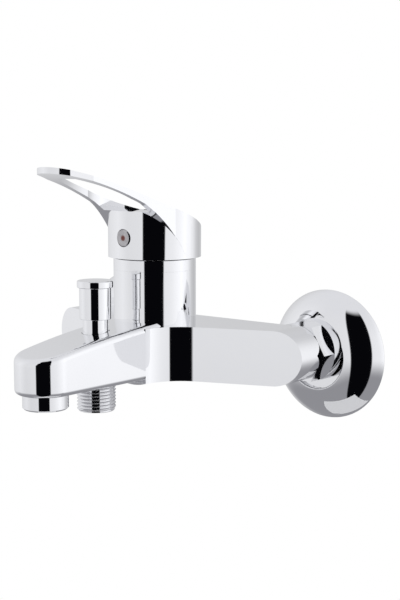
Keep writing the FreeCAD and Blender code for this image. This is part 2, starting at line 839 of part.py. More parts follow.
def turret():
    """The plastic carrier that turns with the lever and holds the stem's pivot pin."""
    profile = [
        (0, AXIS + d["turret_floor"]),
        (d["turret_radius"], AXIS + d["turret_floor"]),
        (d["turret_radius"], AXIS + d["turret_shoulder"]),
        (d["turret_neck_radius"], AXIS + d["turret_shoulder"]),
        (d["turret_neck_radius"], AXIS + d["turret_top"]),
        (0, AXIS + d["turret_top"]),
    ]
    blank = turned("turret_blank", profile, 0, HOUSING_Y, 0)
    width = d["stem_width"] + d["stem_slot_gap"] * 2
    depth = d["slot_front"] + d["slot_back"]
    middle = HOUSING_Y + (d["slot_back"] - d["slot_front"]) / 2
    high = d["turret_top"] - d["turret_floor"] + CUT_SPARE * 2
    slot_floor = AXIS + d["turret_floor"] - CUT_SPARE
    slot = brick("turret_slot", width, depth, high, 0, middle, slot_floor)
    length = d["pin_length"]
    hole = rod("turret_pin_hole", d["pin_radius"], length, -length / 2, HOUSING_Y, PIVOT_Z, ALONG_X)
    return keep(without("turret", blank, [slot, hole]), "cartridge_turret")


def stem_pin():
    length = d["pin_length"]
    pin = rod("pin", d["pin_radius"], length, -length / 2, HOUSING_Y, PIVOT_Z, ALONG_X)
    return keep(pin, "stem_pin")


def lever_stem():
    """The steel stem: a ball below the pin moves the disc, a square above it carries the lever."""
    ball_z = PIVOT_Z - d["ball_drop"]
    ball = doc.addObject("Part::Sphere", "stem_ball")
    bind(ball, "Radius", d["ball_radius"])
    place(ball, 0, HOUSING_Y, ball_z)
    neck = rod("stem_neck", d["stem_neck_radius"], d["ball_drop"], 0, HOUSING_Y, ball_z)
    width = d["stem_width"]
    square_floor = PIVOT_Z - d["stem_square_drop"]
    square_high = AXIS + d["stem_top"] - square_floor
    square = brick("stem_square", width, width, square_high, 0, HOUSING_Y, square_floor)
    outer = joined("stem_outer", [ball, neck, square])
    radius = d["pin_radius"] + d["fit_gap"]
    through = width + CUT_SPARE * 2
    hole = rod("stem_pin_hole", radius, through, -through / 2, HOUSING_Y, PIVOT_Z, ALONG_X)
    return keep(without("stem", outer, [hole]), "lever_stem")


def cartridge_nut():
    """The brass nut that screws into the housing's mouth and holds the cartridge down."""
    floor = AXIS + d["shell_roof_floor"] + d["shell_roof_thick"]
    high = d["cartridge_nut_height"]
    radius = NUT_THREAD - d["cartridge_nut_gap"]
    flange = rod("nut_flange", radius, d["cartridge_nut_flange"], 0, HOUSING_Y, floor)
    drive = hexagon("nut_drive", d["cartridge_nut_hex"], high, 0, HOUSING_Y, floor)
    through = high + CUT_SPARE * 2
    bore = rod("nut_bore", d["cartridge_nut_bore"], through, 0, HOUSING_Y, floor - CUT_SPARE)
    return keep(without("lock_nut", joined("nut_blank", [flange, drive]), [bore]), "cartridge_nut")


def trim_ring():
    """The plated ring that closes the gap above the housing, pressed into its mouth by a spigot."""
    low = AXIS + d["housing_top"]
    profile = [
        (d["ring_bore"], low - d["ring_spigot"]),
        (NUT_THREAD, low - d["ring_spigot"]),
        (NUT_THREAD, low),
        (d["housing_radius"], low),
        (d["housing_radius"], AXIS + d["ring_top"]),
        (d["ring_bore"], AXIS + d["ring_top"]),
    ]
    return keep(turned("ring", profile, 0, HOUSING_Y, 0), "trim_ring")


# ---- the lever -------------------------------------------------------------------

def lever_outline():
    """Half of the lever's plan, from its back to its tip, as (half width, reach) corners."""
    return [
        (LEVER_BASE, d["housing_reach"]),
        (LEVER_BASE - d["waist_inset"], d["waist_reach"]),
        (d["shoulder_half"], d["shoulder_reach"]),
        (d["tip_half"], d["tip_reach"] - d["tip_corner_depth"]),
    ]


def lever_handle():
    rim = AXIS + d["ring_top"] + d["lever_gap"]
    high = AXIS + d["tip_top"] + 10
    half = lever_outline()
    left = [(-x, -reach) for x, reach in half]
    right = [(x, -reach) for x, reach in reversed(half)]
    left[3] = left[3] + (d["tip_radius"],)
    right[3] = right[3] + (LEVER_BASE,)
    plan = slab("lever_plan", left + right, UP, rim, high)
    back = turned(
        "lever_back",
        [
            (0, rim),
            (LEVER_BASE, rim),
            (LEVER_BACK, AXIS + d["lever_back_height"]),
            (LEVER_BACK, high),
            (0, high),
        ],
        0,
        HOUSING_Y,
        0,
    )
    tip = -d["tip_reach"] - 1
    far = -d["housing_reach"] + LEVER_BACK + 1
    clear = [
        (-d["loop_heel_reach"], rim - 1),
        (-d["loop_heel_reach"], rim, d["loop_heel_radius"]),
        (-d["loop_knee_reach"], AXIS + d["loop_knee_height"], d["loop_under_radius"]),
        (tip, AXIS + d["tip_top"] - d["tip_thick"]),
        (tip, rim - 1),
    ]
    below = slab("lever_under", clear, SIDE_VIEW, -(LEVER_BACK + 1), LEVER_BACK + 1)
    shroud = without("lever_shroud", joined("lever_skin", [plan, back]), [below])
    base = rod("lever_base", LEVER_BASE, AXIS + d["lever_roof"] - rim, 0, HOUSING_Y, rim)
    whole = joined("lever_whole", [shroud, base])
    under_top = slab(
        "lever_top_limit",
        [
            (far, rim - 1),
            (far, AXIS + d["lever_back_top"], d["lever_crown"]),
            (tip, AXIS + d["tip_top"]),
            (tip, rim - 1),
        ],
        SIDE_VIEW,
        -(LEVER_BACK + 1),
        LEVER_BACK + 1,
    )
    limited = shared("lever_limited", whole, under_top)
    loop = slab(
        "lever_loop",
        [
            (-d["hole_front_half"], -d["hole_front_reach"]),
            (d["hole_front_half"], -d["hole_front_reach"], d["hole_front_bow"]),
            (d["hole_wide_half"], -d["hole_wide_reach"], d["hole_back_bow"]),
            (d["hole_back_half"], -d["hole_back_reach"]),
            (-d["hole_back_half"], -d["hole_back_reach"], d["hole_back_bow"]),
            (-d["hole_wide_half"], -d["hole_wide_reach"], d["hole_front_bow"]),
        ],
        UP,
        AXIS + d["lever_roof"],
        high,
    )
    hub_gap = turned(
        "lever_cavity",
        [
            (0, rim - 1),
            (LEVER_BASE - d["lever_wall"], rim - 1),
            (LEVER_BASE - d["lever_wall"], AXIS + d["lever_cavity_top"]),
            (d["hub_radius"], AXIS + d["lever_cavity_top"]),
            (d["hub_radius"], AXIS + d["hub_floor"]),
            (0, AXIS + d["hub_floor"]),
        ],
        0,
        HOUSING_Y,
        0,
    )
    width = d["stem_width"] + d["fit_gap"] * 2
    socket_high = d["stem_top"] - d["hub_floor"] + CUT_SPARE * 2
    socket_floor = AXIS + d["hub_floor"] - CUT_SPARE
    socket = brick("lever_socket", width, width, socket_high, 0, HOUSING_Y, socket_floor)
    screw_z = AXIS + d["screw_height"]
    outside_y = HOUSING_Y - LEVER_BASE - CUT_SPARE
    tap = d["screw_radius"] + d["fit_gap"]
    tapped = rod("lever_tapped_hole", tap, LEVER_BASE, 0, outside_y, screw_z, TO_WALL)
    plug = d["plug_radius"] + d["fit_gap"]
    deep = d["plug_depth"] + CUT_SPARE + d["plug_proud"]
    recess = rod("lever_plug_hole", plug, deep, 0, outside_y, screw_z, TO_WALL)
    return keep(without("lever", limited, [loop, hub_gap, socket, tapped, recess]), "lever_handle")


def set_screw():
    """The hollow-hexagon grub screw that clamps the lever to the stem."""
    end = HOUSING_Y - d["stem_width"] / 2
    screw_z = AXIS + d["screw_height"]
    start = end - d["screw_length"]
    radius = d["screw_radius"]
    blank = rod("screw_blank", radius, d["screw_length"], 0, start, screw_z, TO_WALL)
    deep = d["screw_key_depth"] + CUT_SPARE
    key = hexagon("screw_key", radius, deep, 0, start - CUT_SPARE, screw_z, TO_WALL)
    return keep(without("screw", blank, [key]), "lever_set_screw")


def temperature_plug():
    """The plug over the screw, with the hot and cold mark."""
    screw_z = AXIS + d["screw_height"]
    front = HOUSING_Y - LEVER_BASE
    plug = turned(
        "plug",
        [
            (0, 0),
            (d["plug_radius"] - d["plug_edge"], 0),
            (d["plug_radius"], d["plug_edge"]),
            (d["plug_radius"], d["plug_depth"]),
            (0, d["plug_depth"]),
        ],
        0,
        front - d["plug_proud"],
        screw_z,
        TO_WALL,
    )
    return keep(plug, "temperature_plug")


# ---- the diverter ----------------------------------------------------------------

NIPPLE_TOP = AXIS - d["spout_floor"] + d["shower_spigot_length"]
VALVE_FLOOR = NIPPLE_TOP + d["valve_seal_thick"]
VALVE_TOP = VALVE_FLOOR + d["valve_thick"]


def diverter_rod():
    """The rod with its valve disc at the foot and the collar that the spring presses on."""
    collar = AXIS + d["collar_height"]
    profile = [
        (0, VALVE_FLOOR),
        (d["valve_radius"], VALVE_FLOOR),
        (d["valve_radius"], VALVE_TOP),
        (d["rod_radius"], VALVE_TOP),
        (d["rod_radius"], collar),
        (d["collar_radius"], collar),
        (d["collar_radius"], collar + d["collar_thick"]),
        (d["rod_radius"], collar + d["collar_thick"]),
        (d["rod_radius"], AXIS + d["rod_top"]),
        (0, AXIS + d["rod_top"]),
    ]
    return keep(turned("valve_rod", profile, 0, DIVERTER_Y, 0), "diverter_rod")


def valve_seals():
    low = turned(
        "lower_seal",
        [
            (0, NIPPLE_TOP),
            (d["valve_seal_radius"], NIPPLE_TOP),
            (d["valve_seal_radius"], VALVE_FLOOR),
            (0, VALVE_FLOOR),
        ],
        0,
        DIVERTER_Y,
        0,
    )
    keep(low, "valve_seal_lower")
    top = VALVE_TOP + d["valve_seal_thick"]
    radius = d["valve_seal_radius"]
    high = tube("upper_seal", d["rod_radius"], radius, VALVE_TOP, top, 0, DIVERTER_Y, 0)
    keep(high, "valve_seal_upper")


def diverter_bonnet():
    """The brass guide screwed into the spout: it houses the spring and seals the rod."""
    flange = AXIS + d["bonnet_flange_floor"]
    ceiling = AXIS + d["bonnet_ceiling"]
    groove = ceiling + d["rod_seal_shoulder"]
    hole = d["rod_radius"] + d["fit_gap"]
    profile = [
        (d["bonnet_bore"], AXIS + d["upper_chamber_top"]),
        (d["bonnet_thread_radius"], AXIS + d["upper_chamber_top"]),
        (d["bonnet_thread_radius"], flange),
        (d["bonnet_flange_radius"], flange),
        (d["bonnet_flange_radius"], flange + d["bonnet_flange_thick"]),
        (d["bonnet_sleeve_radius"], flange + d["bonnet_flange_thick"]),
        (d["bonnet_sleeve_radius"], AXIS + d["bonnet_top"]),
        (hole, AXIS + d["bonnet_top"]),
        (hole, groove + d["rod_seal_height"]),
        (d["rod_seal_groove"], groove + d["rod_seal_height"]),
        (d["rod_seal_groove"], groove),
        (hole, groove),
        (hole, ceiling),
        (d["bonnet_bore"], ceiling),
    ]
    return keep(turned("bonnet", profile, 0, DIVERTER_Y, 0), "diverter_bonnet")


def rod_o_ring():
    ring = doc.addObject("Part::Torus", "rod_ring")
    thick = (d["rod_seal_groove"] - d["rod_radius"] - d["fit_gap"] * 2) / 2
    bind(ring, "Radius2", thick)
    bind(ring, "Radius1", d["rod_radius"] + d["fit_gap"] + thick)
    middle = AXIS + d["bonnet_ceiling"] + d["rod_seal_shoulder"] + d["rod_seal_height"] / 2
    return keep(place(ring, 0, DIVERTER_Y, middle), "rod_o_ring")


def return_spring():
    """The light coil that drops the diverter when the water stops."""
    low = AXIS + d["collar_height"] + d["collar_thick"] + d["spring_wire"] + d["fit_gap"] * 2
    high = AXIS + d["bonnet_ceiling"] - d["spring_wire"] - d["fit_gap"] * 2
    path = doc.addObject("Part::Helix", "spring_path")
    bind(path, "Radius", d["spring_radius"])
    bind(path, "Height", high - low)
    bind(path, "Pitch", (high - low) / d["spring_turns"])
    place(path, 0, DIVERTER_Y, low)
    wire = doc.addObject("Part::Circle", "spring_section")
    bind(wire, "Radius", d["spring_wire"])
    place(wire, d["spring_radius"], DIVERTER_Y, low, Rotation(Vector(1, 0, 0), 90))
    coil = doc.addObject("Part::Sweep", "coil")
    coil.Sections = [wire]
    doc.recompute()
    coil.Spine = (path, [f"Edge{n}" for n in range(1, len(path.Shape.Edges) + 1)])
    coil.Solid = True
    coil.Frenet = True
    return keep(coil, "diverter_spring")


def diverter_knob():
    """The pull knob: a hollow barrel with a wider cap, screwed on the rod's top."""
    floor = AXIS + d["knob_floor"]
    cap = AXIS + d["knob_cap_floor"]
    top = AXIS + d["knob_top"]
    edge = d["knob_edge"]
    profile = [
        (d["rod_radius"], AXIS + d["knob_roof"]),
        (d["knob_bore"], AXIS + d["knob_roof"]),
        (d["knob_bore"], floor),
        (d["knob_radius"], floor),
        (d["knob_radius"], cap),
        (d["knob_cap_radius"] - d["knob_cap_ease"], cap),
        (d["knob_cap_radius"], cap + d["knob_cap_ease"]),
        (d["knob_cap_radius"], top - edge),
        (d["knob_cap_radius"] - edge, top),
        (0, top),
        (0, AXIS + d["rod_top"]),
        (d["rod_radius"], AXIS + d["rod_top"]),
    ]
    return keep(turned("knob", profile, 0, DIVERTER_Y, 0), "diverter_knob")


# ---- the outlets -----------------------------------------------------------------

def shower_outlet():
    floor = AXIS - d["spout_floor"]
    end = floor - d["shower_thread_length"]
    profile = [
        (d["shower_bore"], end),
        (d["shower_thread_radius"] - d["shower_thread_lead"], end),
        (d["shower_thread_radius"], end + d["shower_thread_lead"]),
        (d["shower_thread_radius"], floor),
        (d["shower_spigot_radius"], floor),
        (d["shower_spigot_radius"], NIPPLE_TOP),
        (d["shower_bore"], NIPPLE_TOP),
    ]
    return keep(turned("shower", profile, 0, DIVERTER_Y, 0), "shower_outlet")


def aerator():
    floor = AXIS - d["spout_floor"]
    low = floor - d["aerator_length"]
    top = floor + d["aerator_thread_length"]
    shelf = low + d["aerator_lip"]
    case = [
        (d["aerator_bore"] - d["aerator_lip_step"], low),
        (d["aerator_radius"] - d["aerator_edge"], low),
        (d["aerator_radius"], low + d["aerator_edge"]),
        (d["aerator_radius"], floor),
        (d["aerator_thread_radius"], floor),
        (d["aerator_thread_radius"], top),
        (d["aerator_bore"], top),
        (d["aerator_bore"], shelf),
        (d["aerator_bore"] - d["aerator_lip_step"], shelf),
    ]
    keep(turned("aerator_case", case, 0, NOSE_Y, 0), "aerator_housing")
    insert_radius = d["aerator_bore"] - d["fit_gap"]
    length = d["insert_top_length"]
    plate = rod("insert_blank", insert_radius, length, 0, NOSE_Y, shelf)
    holes = []
    radius = d["insert_hole_radius"]
    through = length + CUT_SPARE * 2
    for step, count in ((0, 1), (1, 6), (2, 12)):
        distance = d["insert_ring_step"] * step
        for turn in range(count):
            angle = 2 * math.pi * turn / count
            x = distance * math.cos(angle)
            y = NOSE_Y + distance * math.sin(angle)
            name = f"insert_hole_{step}_{turn}"
            holes.append(rod(name, radius, through, x, y, shelf - CUT_SPARE))
    keep(without("insert", plate, holes), "aerator_insert")
    outer = d["aerator_thread_radius"] - d["gasket_gap"]
    ring = tube("gasket", d["gasket_bore"], outer, top, top + d["gasket_thick"], 0, NOSE_Y, 0)
    keep(ring, "aerator_gasket")


def check_and_write():
    """Refuse a document with a failed object or a bad shape, then write one file per sub-part."""
    doc.recompute()
    bad = [o.Name for o in doc.Objects if "Invalid" in o.State or "Error" in o.State]
    if bad:
        raise RuntimeError("failed objects: " + ", ".join(bad))
    for thing in nodes:
        if thing.Shape.isNull() or not thing.Shape.isValid() or not thing.Shape.Solids:
            raise RuntimeError("bad shape: " + thing.Label)
    for thing in nodes:
        thing.Shape.exportStep(f"parts/{thing.Label}.step")
        solids = len(thing.Shape.Solids)
        print(f"{thing.Label:22s} solids {solids}  volume {thing.Shape.Volume:10.1f} mm3")


body_casting()
for side, word in ((-1, "left"), (1, "right")):
    inlet_nipple(side, word)
    union_nut(side, word)
    union_washer(side, word)
    s_union(side, word)
    rosette(side, word)
cartridge_base()
port_seals()
ceramic_discs()
slide_plate()
cartridge_shell()
turret()
stem_pin()
lever_stem()
cartridge_nut()
trim_ring()
lever_handle()
set_screw()
temperature_plug()
diverter_rod()
valve_seals()
diverter_bonnet()
rod_o_ring()
return_spring()
diverter_knob()
shower_outlet()
aerator()
check_and_write()
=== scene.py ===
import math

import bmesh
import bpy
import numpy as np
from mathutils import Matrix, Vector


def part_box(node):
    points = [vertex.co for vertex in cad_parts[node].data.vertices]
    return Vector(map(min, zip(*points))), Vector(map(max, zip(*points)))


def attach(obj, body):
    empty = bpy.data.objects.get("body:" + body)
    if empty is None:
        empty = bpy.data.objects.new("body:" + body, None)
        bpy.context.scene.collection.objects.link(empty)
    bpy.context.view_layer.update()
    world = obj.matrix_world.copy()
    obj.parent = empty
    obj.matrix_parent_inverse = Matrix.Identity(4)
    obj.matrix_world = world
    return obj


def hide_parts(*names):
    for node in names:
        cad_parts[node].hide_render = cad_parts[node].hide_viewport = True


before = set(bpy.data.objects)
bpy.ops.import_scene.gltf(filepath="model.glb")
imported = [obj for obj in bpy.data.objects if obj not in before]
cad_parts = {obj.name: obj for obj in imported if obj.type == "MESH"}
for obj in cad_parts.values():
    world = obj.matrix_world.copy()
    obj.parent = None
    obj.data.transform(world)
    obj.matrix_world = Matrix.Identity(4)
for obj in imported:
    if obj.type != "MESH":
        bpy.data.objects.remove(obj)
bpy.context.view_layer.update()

# %% [markdown]
# A wall mounted bath mixer
#
# Almost everything here is bright chrome, and a mirror has no colour of its own: what makes it look
# real is the clean curve of each surface and what the room puts into it. So this lesson settles the
# camera and the light early, then makes the turned and pressed pieces as exact surfaces.

MM = 0.001
node_box = {name: [np.array(corner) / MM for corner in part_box(name)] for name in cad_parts}


def middle(name):
    """Half way between a node's lowest and highest corners, in millimetres."""
    low, high = node_box[name]
    return (low + high) / 2


print("nodes", len(node_box))

# %% [markdown]
# The camera
#
# A long lens from a few steps back keeps the arms nearly parallel, as in a catalogue picture. It looks
# slightly down on the faucet from the right, and needs no shift.

# %% Camera
camera_data = bpy.data.cameras.new("studio_camera")
camera_data.lens = 74.8
camera_data.sensor_width = 36.0
camera_data.clip_start = 0.01
camera = bpy.data.objects.new("studio_camera", camera_data)
camera.location = (0.45815, -0.59003, 0.12097)
camera.rotation_euler = (math.radians(90 - 7.35), 0, math.radians(38.97))
bpy.context.scene.collection.objects.link(camera)
bpy.context.scene.camera = camera
print("camera at", tuple(round(c, 3) for c in camera.location))

# %% [markdown]
# Shader sums as plain Python
#
# A socket wrapped in a small class lets 0.04 + 0.03 * noise write its own Math nodes, which reads far
# better than a page of links. Everything that is not a sum comes from one method, node().


# %% A socket that does sums
def connect(tree, socket, value):
    if isinstance(value, Signal):
        tree.links.new(value.socket, socket)
    else:
        socket.default_value = value


class Signal:
    def __init__(self, tree, socket):
        self.tree, self.socket = tree, socket

    def sum(self, operation, first, second):
        maths = self.tree.nodes.new("ShaderNodeMath")
        maths.operation = operation
        connect(self.tree, maths.inputs[0], first)
        connect(self.tree, maths.inputs[1], second)
        return Signal(self.tree, maths.outputs[0])

    def __add__(self, other):
        return self.sum("ADD", self, other)

    def __radd__(self, other):
        return self.sum("ADD", other, self)

    def __rsub__(self, other):
        return self.sum("SUBTRACT", other, self)

    def __mul__(self, other):
        return self.sum("MULTIPLY", self, other)

    def __rmul__(self, other):
        return self.sum("MULTIPLY", other, self)


class Bench:
    """A node tree to build on."""

    def __init__(self, tree):
        self.tree = tree
        tree.nodes.clear()

    def node(self, kind, settings=None, inputs=None, out=0):
        made = self.tree.nodes.new(kind)
        for key, value in (settings or {}).items():
            setattr(made, key, value)
        for key, value in (inputs or {}).items():
            connect(self.tree, made.inputs[key], value)
        return Signal(self.tree, made.outputs[out]) if made.outputs else None

    def blend(self, factor, first, second):
        made = self.tree.nodes.new("ShaderNodeMix")
        made.data_type = "RGBA"
        connect(self.tree, made.inputs[0], factor)
        connect(self.tree, made.inputs[6], first)
        connect(self.tree, made.inputs[7], second)
        return Signal(self.tree, made.outputs[2])


# %% [markdown]
# The studio
#
# Chrome looks white with crisp black strips when it stands in a white tent with one dark
# opening. A light tent could be built from cards, but painting it on the world by compass direction
# costs nothing and has no noise. The camera itself sees plain white.

# %% The white tent and its dark opening
DARK_FROM, DARK_TO, EDGE = 11.5, 66.0, 1.6
CEILING = (0.80, 0.805, 0.83, 1)
UNDERSIDE = (0.30, 0.30, 0.32, 1)
NEAR_BLACK = (0.002, 0.002, 0.003, 1)
world = bpy.data.worlds.new("white_tent")
bpy.context.scene.world = world
world.use_nodes = True
tent = Bench(world.node_tree)
way = tent.node("ShaderNodeTexCoord")
split = world.node_tree.nodes.new("ShaderNodeSeparateXYZ")
connect(world.node_tree, split.inputs[0], way)
east, north, height = (Signal(world.node_tree, split.outputs[i]) for i in range(3))
compass = east.sum("ARCTAN2", east, 0.0 - north)


def step_up(value, at, soft):
    """0 below, 1 above, with a smooth edge of the given half width."""
    return tent.node(
        "ShaderNodeMapRange",
        {"interpolation_type": "SMOOTHSTEP"},
        {"Value": value, "From Min": at - soft, "From Max": at + soft},
    )


soft = math.radians(EDGE)
opening = step_up(compass, math.radians(DARK_FROM), soft) * (
    1.0 - step_up(compass, math.radians(DARK_TO), soft)
)
opening = opening * (1.0 - step_up(height, 0.90, 0.05))
wall_stops = [
    (-180, 0.56), (-141, 0.66), (-100, 0.84), (-60, 0.93), (-30, 0.82), (2, 0.84),
    (11, 0.86), (66, 0.90), (88, 0.96), (121, 1.16), (145, 1.0), (165, 0.66), (180, 0.56),
]
walls = world.node_tree.nodes.new("ShaderNodeValToRGB")
for place, (degrees, bright) in enumerate(wall_stops):
    spot = (degrees + 180) / 360
    if place < 2:
        stop = walls.color_ramp.elements[place]
        stop.position = spot
    else:
        stop = walls.color_ramp.elements.new(spot)
    stop.color = (bright * 0.985, bright * 0.99, bright * 1.01, 1)
connect(world.node_tree, walls.inputs[0], compass * (0.5 / math.pi) + 0.5)
cloth = Signal(world.node_tree, walls.outputs[0])
cloth = tent.blend(step_up(height, 0.62, 0.34), cloth, CEILING)
cloth = tent.blend(1.0 - step_up(height, -0.36, 0.24), cloth, UNDERSIDE)
cloth = tent.blend(opening, cloth, NEAR_BLACK)
seen = tent.node("ShaderNodeLightPath")
lit = tent.node("ShaderNodeBackground", None, {"Color": cloth, "Strength": 1.0})
plain = tent.node("ShaderNodeBackground", None, {"Color": (1, 1, 1, 1), "Strength": 1.0})
both = tent.node("ShaderNodeMixShader", None, {0: seen, 1: lit, 2: plain})
tent.node("ShaderNodeOutputWorld", None, {"Surface": both})
bpy.context.scene.view_settings.view_transform = "Standard"
print("dark opening from", DARK_FROM, "to", DARK_TO, "degrees")

# %% [markdown]
# Surfaces from arrays
#
# Every new piece is a grid of points worked out with whole arrays. Two builders are enough: one turns
# a profile round an axis like a lathe, and one joins any grid into a skin. A third rounds a profile's
# corners, since a real plated edge always catches a thin line of light.


# %% Rounding, skins and the lathe
def unit(vector):
    return vector / np.maximum(np.linalg.norm(vector, axis=-1, keepdims=True), 1e-12)


def rounded(points, radii, steps=6, support=0.25):
    """Each corner becomes an arc: its centre lies on the corner's bisector at radius over the sine of
    the half angle, and the arc swings between the two touching points. A point just beyond each end of
    the arc keeps the flat beside it flat when shaded."""
    points, radii = np.array(points, float), np.array(radii, float)[:, None]
    to_last, to_next = unit(np.roll(points, 1, 0) - points), unit(np.roll(points, -1, 0) - points)
    corner = np.arccos(np.clip((to_last * to_next).sum(1, keepdims=True), -1, 1))
    touch = radii / np.tan(corner / 2)
    centre = points + unit(to_last + to_next) * radii / np.sin(corner / 2)
    first, last = points + to_last * touch, points + to_next * touch
    swing = np.maximum(math.pi - corner, 1e-6)[:, None]
    along = np.linspace(0, 1, steps + 1)[None, :, None]
    arcs = centre[:, None] + (
        np.sin((1 - along) * swing) * (first - centre)[:, None]
        + np.sin(along * swing) * (last - centre)[:, None]
    ) / np.sin(swing)
    keep = (radii > 0) * support
    before, after = (first + to_last * keep)[:, None], (last + to_next * keep)[:, None]
    rows = np.concatenate([before, arcs, after], 1)
    flat = rows.reshape(-1, 2)
    return flat[np.linalg.norm(flat - np.roll(flat, 1, 0), axis=1) > 1e-6]


def skin(name, points, closed_rows=True, closed_columns=True):
    """A grid of points in millimetres, joined to its neighbours by index arrays into four sided faces."""
    rows, columns = points.shape[:2]
    index = np.arange(rows * columns).reshape(rows, columns)
    if closed_rows:
        index = np.concatenate([index, index[:1]], 0)
    if closed_columns:
        index = np.concatenate([index, index[:, :1]], 1)
    corners = [index[:-1, :-1], index[1:, :-1], index[1:, 1:], index[:-1, 1:]]
    faces = np.stack(corners, -1).reshape(-1, 4)
    mesh = bpy.data.meshes.new(name)
    mesh.from_pydata((points.reshape(-1, 3) * MM).tolist(), [], faces.tolist())
    work = bmesh.new()
    work.from_mesh(mesh)
    bmesh.ops.remove_doubles(work, verts=work.verts, dist=1e-6)
    bmesh.ops.dissolve_degenerate(work, edges=work.edges, dist=1e-7)
    bmesh.ops.recalc_face_normals(work, faces=work.faces)
    work.to_mesh(mesh)
    work.free()
    mesh.shade_smooth()
    piece = bpy.data.objects.new(name, mesh)
    bpy.context.scene.collection.objects.link(piece)
    print("made", name, "faces", len(mesh.polygons))
    return piece


def turned(name, profile, centre, axis="Z", steps=160):
    """The profile's points (radius, height) swept round the axis: centre + radius * circle + height * axis."""
    angle = np.linspace(0, 2 * math.pi, steps, endpoint=False)[:, None]
    radius, height = profile[None, :, 0], profile[None, :, 1]
    across, over = radius * np.cos(angle), radius * np.sin(angle)
    level = np.broadcast_to(height, across.shape)
    order = (across, over, level) if axis == "Z" else (across, level, over)
    return skin(name, np.stack(order, -1) + np.array(centre))


# %% [markdown]
# The finishes
#
# Bright nickel and chrome plate is a mirror with a faint unevenness from polishing, so its roughness
# drifts a little and a very shallow bump bends reflections slightly. The hidden pieces get plainer
# finishes of the same recipe: two close tones, a drifting roughness and a fine grain.


# %% One recipe for every finish
def finish(name, tone, other_tone, metal, rough, drift, wave, grain, lift):
    """Two tones mixed by soft clouds; roughness = rough + drift * clouds; a bump from the finer grain."""
    material = bpy.data.materials.new(name)
    material.use_nodes = True
    bench = Bench(material.node_tree)
    place = bench.node("ShaderNodeTexCoord", None, None, "Object")
    clouds = bench.node("ShaderNodeTexNoise", None, {"Vector": place, "Scale": wave, "Detail": 3.0})
    fine = bench.node("ShaderNodeTexNoise", None, {"Vector": place, "Scale": grain, "Detail": 2.0})
    bump = bench.node("ShaderNodeBump", None, {"Strength": lift, "Distance": 0.0002, "Height": fine})
    body = bench.node(
        "ShaderNodeBsdfPrincipled",
        None,
        {
            "Base Color": bench.blend(clouds, tone, other_tone),
            "Metallic": metal,
            "Roughness": rough + drift * clouds,
            "Normal": bump,
        },
    )
    bench.node("ShaderNodeOutputMaterial", None, {"Surface": body})
    return material


bright_chrome = finish(
    "bright_chrome", (0.90, 0.90, 0.915, 1), (0.86, 0.865, 0.88, 1), 1.0, 0.025, 0.035, 28, 45, 0.03
)
turned_brass = finish(
    "turned_brass", (0.72, 0.52, 0.22, 1), (0.60, 0.42, 0.17, 1), 1.0, 0.28, 0.2, 60, 500, 0.25
)
bare_steel = finish(
    "bare_steel", (0.56, 0.57, 0.58, 1), (0.46, 0.47, 0.48, 1), 1.0, 0.24, 0.18, 80, 600, 0.2
)
disc_ceramic = finish(
    "disc_ceramic", (0.86, 0.85, 0.82, 1), (0.80, 0.79, 0.76, 1), 0.0, 0.12, 0.1, 90, 900, 0.08
)
white_nylon = finish(
    "white_nylon", (0.82, 0.82, 0.80, 1), (0.75, 0.75, 0.73, 1), 0.0, 0.38, 0.15, 70, 700, 0.2
)
grey_nylon = finish(
    "grey_nylon", (0.30, 0.31, 0.32, 1), (0.24, 0.25, 0.26, 1), 0.0, 0.4, 0.15, 70, 700, 0.2
)
seal_rubber = finish(
    "seal_rubber", (0.020, 0.020, 0.021, 1), (0.032, 0.032, 0.033, 1), 0.0, 0.55, 0.2, 90, 800, 0.3
)
def plug_finish():
    """A dark chrome button. The mark is warm where the distance from the button's middle is under 1.5 mm
    and grey elsewhere, measured across and up in object space."""
    material = bpy.data.materials.new("plug_button")
    material.use_nodes = True
    bench = Bench(material.node_tree)
    place = bench.node("ShaderNodeTexCoord", None, None, "Object")
    hub = middle("temperature_plug") * MM
    offset = bench.node("ShaderNodeVectorMath", {"operation": "DISTANCE"}, {0: place, 1: tuple(hub)}, 1)
    mark = bench.node(
        "ShaderNodeMapRange",
        {"interpolation_type": "SMOOTHSTEP"},
        {"Value": offset, "From Min": 0.0014, "From Max": 0.0023, "To Min": 1.0, "To Max": 0.0},
    )
    clouds = bench.node("ShaderNodeTexNoise", None, {"Vector": place, "Scale": 320.0, "Detail": 2.0})
    metal = bench.blend(clouds, (0.62, 0.61, 0.62, 1), (0.30, 0.29, 0.30, 1))
    body = bench.node(
        "ShaderNodeBsdfPrincipled",
        None,
        {"Base Color": bench.blend(mark, metal, (0.22, 0.05, 0.035, 1)), "Metallic": 1.0 - 0.8 * mark,
         "Roughness": 0.1 + 0.15 * clouds},
    )
    bench.node("ShaderNodeOutputMaterial", None, {"Surface": body})
    return material


plug_button = plug_finish()
print("finishes", len(bpy.data.materials))

# %% Each slot of the record takes one finish
slot_finish = {
    "plated_brass": bright_chrome,
    "plated_zinc": bright_chrome,
    "plated_steel": bright_chrome,
    "raw_brass": turned_brass,
    "steel": bare_steel,
    "ceramic": disc_ceramic,
    "white_plastic": white_nylon,
    "grey_plastic": grey_nylon,
    "black_rubber": seal_rubber,
    "plug_finish": plug_button,
}
painted = 0
for name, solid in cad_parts.items():
    slots = solid.data.materials
    for place in range(len(slots)):
        slots[place] = slot_finish[slots[place].name]
        painted += 1
print("painted", painted, "of", len(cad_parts), "nodes")


def settle(piece, body, node, slot):
    """Rides on its body, stands for its node, and wears its slot's finish."""
    piece.data.materials.append(slot_finish[slot])
    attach(piece, body)
    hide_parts(node)


# %% [markdown]
# The trim ring
#
# A plain turned collar between the casting and the handle. Only its two thin edge lines are ever
# noticed, so it is a four cornered profile with small rounded corners.

